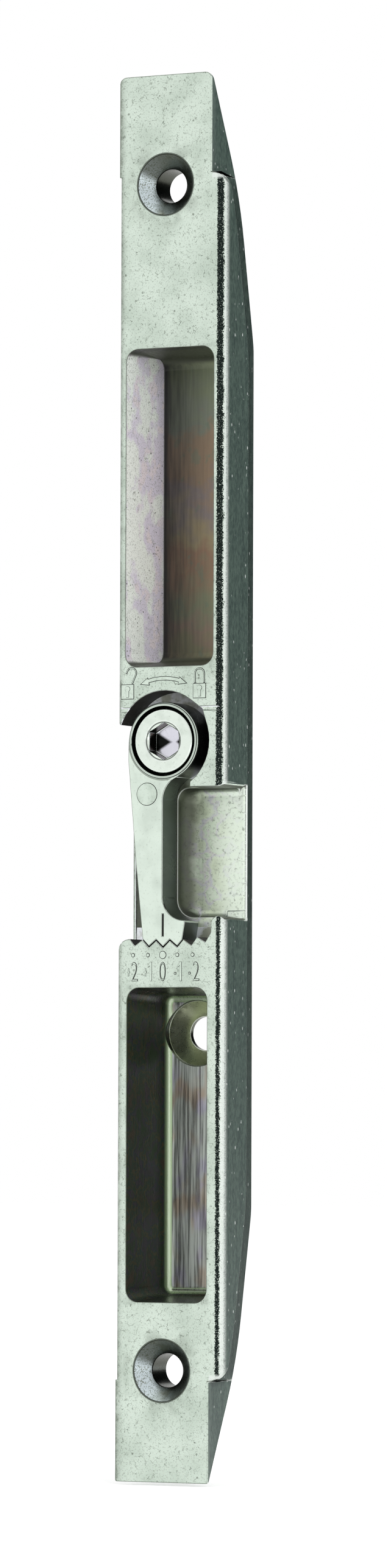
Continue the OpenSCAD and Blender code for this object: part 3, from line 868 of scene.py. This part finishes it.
# Painted shade: a dark line round the socket's mouth.
socket_line = from_middle.rise(2.78, 2.88) * from_middle.fall(2.96, 3.04)
colour = (socket_line * 0.8).blend(colour, gap_black)
# Painted highlight on the rounded edges.
colour = (rounded_edge * 0.5).blend(colour, edge_highlight)
# Painted shade in the gap round the head.
colour = in_gap.blend(colour, gap_black)
feed(shader, Base_Color=colour, Roughness=0.16 + cloud * 0.12)
cast_bump(shader, mm, 0.12)
screw.data.materials.append(screw_zinc)
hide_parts("clamp_screw")
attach(screw, "screw")


# Square nut. A pressed and plated steel nut in its channel behind the plate.
nut_edge_r = 0.25 * MM
nut = joined_copy("clamp_nut", "square_nut")
round_edges(nut, nut_edge_r, [], "rounded_edge_faces")
smooth_over(nut, 35)
nut_zinc, mm, shader = metal("nut_zinc", 1.0, 0.35)
rounded_edge = mm.node("Attribute", attribute_name="rounded_edge_faces", output="Fac")
colour = noise(mm, 0.5, 3).rise(0.4, 0.65).blend((0.60, 0.58, 0.49, 1), (0.46, 0.42, 0.33, 1))
colour = (specks(mm, 1.2, 0.2) * 0.5).blend(colour, hairline_and_shade_dark)
# Painted highlight on the rounded edges.
colour = (rounded_edge * 0.5).blend(colour, edge_highlight)
feed(shader, Base_Color=colour, Roughness=0.28 + noise(mm, 1.2, 2) * 0.2)
cast_bump(shader, mm, 0.5)
nut.data.materials.append(nut_zinc)
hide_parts("clamp_nut")
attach(nut, "nut")


# Cast marks. Low figures, circles, padlocks and a double arrow stand on the face, each with
# a darker sloping border.
mark_height = 0.06 * MM
mark_border = 0.12 * MM
fine_border = 0.06 * MM
mark_sink = 0.01 * MM
mark_row = -27.58
small_mark_r = 0.35
middle_mark_r = 0.64
figure_foot = -31.6
figure_top = -28.6
mark_line = (0.01, 0.014, 0.01, 1)
mark_line_pale = (0.03, 0.04, 0.03, 1)

mark_top, mm, shader = metal("mark_zinc", 0.92, 0.3)
cloud = noise(mm, 0.4, 3)
colour = cloud.rise(0.4, 0.7).blend(face_pale, face_cloud)
colour = (noise(mm, 2.6, 3).rise(0.5, 0.78) * 0.3).blend(colour, hairline_and_shade_dark)
feed(shader, Base_Color=colour, Roughness=0.27 + cloud * 0.1)
cast_bump(shader, mm, 0.4)

mark_side, mm, shader = metal("mark_border_zinc", 0.1, 0.55)
border_tone = noise(mm, 1.5, 2)
colour = border_tone.rise(0.45, 0.75).blend(mark_line, mark_line_pale)
feed(shader, Base_Color=colour, Roughness=0.35 + border_tone * 0.2)
cast_bump(shader, mm, 0.3)


def lay_on_face(piece, name, body, border=mark_border):
    """Turns a flat shape in the x, z plane into a low mark with a sloping border."""
    piece.name = name
    piece.data.materials.clear()
    piece.data.materials.append(mark_top)
    piece.data.materials.append(mark_side)
    bpy.ops.object.select_all(action="DESELECT")
    piece.select_set(True)
    bpy.context.view_layer.objects.active = piece
    bpy.ops.object.transform_apply(location=True, rotation=True, scale=True)
    bpy.ops.object.mode_set(mode="EDIT")
    bpy.ops.mesh.select_mode(type="FACE")
    bpy.ops.mesh.select_all(action="SELECT")
    bpy.ops.mesh.remove_doubles(threshold=0.001 * MM)
    bpy.ops.mesh.normals_make_consistent(inside=False)
    bpy.ops.object.mode_set(mode="OBJECT")
    if piece.data.polygons[0].normal.y > 0:
        piece.data.flip_normals()
    bpy.ops.object.mode_set(mode="EDIT")
    bpy.ops.mesh.select_all(action="SELECT")
    bpy.ops.mesh.inset(thickness=border, depth=mark_height + mark_sink)
    bpy.ops.object.mode_set(mode="OBJECT")
    for face in piece.data.polygons:
        face.material_index = 0 if face.select else 1
    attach(piece, body)


def disc(x, z, radius, name, body="strike", y=mark_sink):
    bpy.ops.mesh.primitive_circle_add(
        vertices=40, radius=radius * MM, fill_type="NGON",
        location=(x * MM, y, z * MM), rotation=(math.pi / 2, 0, 0),
    )
    lay_on_face(bpy.context.active_object, name, body)


def flat_shape(outlines, name, body="strike", border=mark_border, foot=mark_sink):
    """A flat filled shape from closed outlines of (x, z) points in mm."""
    curve = bpy.data.curves.new(name, "CURVE")
    curve.dimensions = "2D"
    curve.fill_mode = "BOTH"
    for points in outlines:
        spline = curve.splines.new("POLY")
        spline.points.add(len(points) - 1)
        for point, (x, z) in zip(spline.points, points):
            point.co = (x * MM, z * MM, 0, 1)
        spline.use_cyclic_u = True
    piece = bpy.data.objects.new(name, curve)
    bpy.context.scene.collection.objects.link(piece)
    bpy.ops.object.select_all(action="DESELECT")
    piece.select_set(True)
    bpy.context.view_layer.objects.active = piece
    piece.location.y = foot
    piece.rotation_euler.x = math.pi / 2
    bpy.ops.object.convert(target="MESH")
    lay_on_face(bpy.context.active_object, name, body, border)


def figure(text, x_from, x_to, name):
    """One figure, drawn to fill its place in the row."""
    bpy.ops.object.text_add(rotation=(math.pi / 2, 0, 0))
    piece = bpy.context.active_object
    piece.data.body = text
    piece.data.resolution_u = 4
    piece.data.size = 3 * MM
    bpy.ops.object.convert(target="MESH")
    piece = bpy.context.active_object
    low = [min(v.co[i] for v in piece.data.vertices) for i in (0, 1)]
    high = [max(v.co[i] for v in piece.data.vertices) for i in (0, 1)]
    wide = (x_to - x_from) * MM / (high[0] - low[0])
    tall = (figure_top - figure_foot) * MM / (high[1] - low[1])
    piece.scale = (wide, tall, 1)
    piece.location = (x_from * MM - low[0] * wide, mark_sink, figure_foot * MM - low[1] * tall)
    lay_on_face(piece, name, "strike")


def arc(radius, start, end, steps, middle=(0, pivot)):
    """Points on an arc, with angles in degrees from straight up, positive to the right."""
    angles = [math.radians(start + (end - start) * i / steps) for i in range(steps + 1)]
    return [(middle[0] + radius * math.sin(a), middle[1] + radius * math.cos(a)) for a in angles]


for number, x in enumerate((-5.1, -2.54, 2.49, 5.1)):
    disc(x, mark_row, small_mark_r, f"mark_circle_{number}")
disc(0, mark_row, middle_mark_r, "mark_circle_middle")
figure("2", -5.4, -4.25, "figure_plus_two")
figure("0", -0.56, 0.56, "figure_zero")
figure("2", 5.15, 6.3, "figure_minus_two")
for name, x in (("figure_plus_one", -2.56), ("figure_minus_one", 2.54)):
    stem, width, flag = x + 0.34, x + 0.72, figure_top - 0.62
    flat_shape([[
        (stem, figure_foot), (width, figure_foot), (width, figure_top), (stem, figure_top),
        (x, flag), (x, flag - 0.34), (stem, flag - 0.06),
    ]], name, border=fine_border)
sign_z = -30.2
for name, x in (("plus_sign_two", -5.87), ("plus_sign_one", -2.98)):
    arm, reach, waist = 0.32, 0.62, 0.14
    flat_shape([[
        (x - arm, sign_z), (x - waist, sign_z + 0.16), (x - waist, sign_z + reach),
        (x + waist, sign_z + reach), (x + waist, sign_z + 0.16), (x + arm, sign_z),
        (x + waist, sign_z - 0.16), (x + waist, sign_z - reach), (x - waist, sign_z - reach),
        (x - waist, sign_z - 0.16),
    ]], name, border=fine_border)
for name, x in (("minus_sign_one", 2.15), ("minus_sign_two", 4.58)):
    half, low, high = 0.22, -30.6, -30.18
    flat_shape([[(x - half, low), (x + half, low), (x + half, high), (x - half, high)]], name)

arrow_turn = 15.3
arrow_tip = 25.4
arrow_band = (9.29, 9.98)
arrow_head = (8.88, 10.26)
flat_shape([
    arc(arrow_band[1], -arrow_turn, arrow_turn, 16)
    + arc(arrow_head[1], arrow_turn, arrow_turn, 1)[:1]
    + arc(9.68, arrow_tip, arrow_tip, 1)[:1]
    + arc(arrow_head[0], arrow_turn, arrow_turn, 1)[:1]
    + arc(arrow_band[0], arrow_turn, -arrow_turn, 16)
    + arc(arrow_head[0], -arrow_turn, -arrow_turn, 1)[:1]
    + arc(9.68, -arrow_tip, -arrow_tip, 1)[:1]
    + arc(arrow_head[1], -arrow_turn, -arrow_turn, 1)[:1]
], "double_arrow")

shackle_r = (0.62, 0.95)


def padlock(name, left, right, low, high, lean, short):
    """A padlock's body with its keyhole, and its shackle, leaning when it is open."""
    middle = (left + right) / 2
    flat_shape([[(left, low), (right, low), (right, high), (left, high)]], f"{name}_body")
    key_z = high - 0.75
    keyhole = arc(0.46, -145, 145, 14, (middle, key_z)) + [(middle + 0.26, low + 0.3), (middle - 0.26, low + 0.3)]
    flat_shape([keyhole], f"{name}_keyhole", border=fine_border, foot=mark_sink - mark_height)
    foot = (right - 0.2 - shackle_r[1], high)
    bow = high + 1.45
    inner, outer = shackle_r
    points = arc(outer, -90, 90, 14, (foot[0], bow))
    points += [(foot[0] + outer, high - 0.05), (foot[0] + inner, high - 0.05)]
    points += arc(inner, 90, -90, 14, (foot[0], bow))
    end = high - 0.05 if not short else high + 0.95
    points += [(foot[0] - inner, end), (foot[0] - outer, end)]
    hinge = (foot[0] + outer, high)
    c, s = math.cos(math.radians(lean)), math.sin(math.radians(lean))
    turned = []
    for x, z in points:
        dx, dz = x - hinge[0], z - hinge[1]
        turned.append((hinge[0] + dx * c + dz * s, hinge[1] - dx * s + dz * c))
    flat_shape([turned], f"{name}_shackle")


padlock("open_padlock", -7.35, -5.05, 11.72, 14.08, 24, True)
padlock("shut_padlock", 5.0, 7.3, 11.59, 13.98, 0, False)

disc(-2.8, -2.9, 1.8, "lever_circle", "lever")
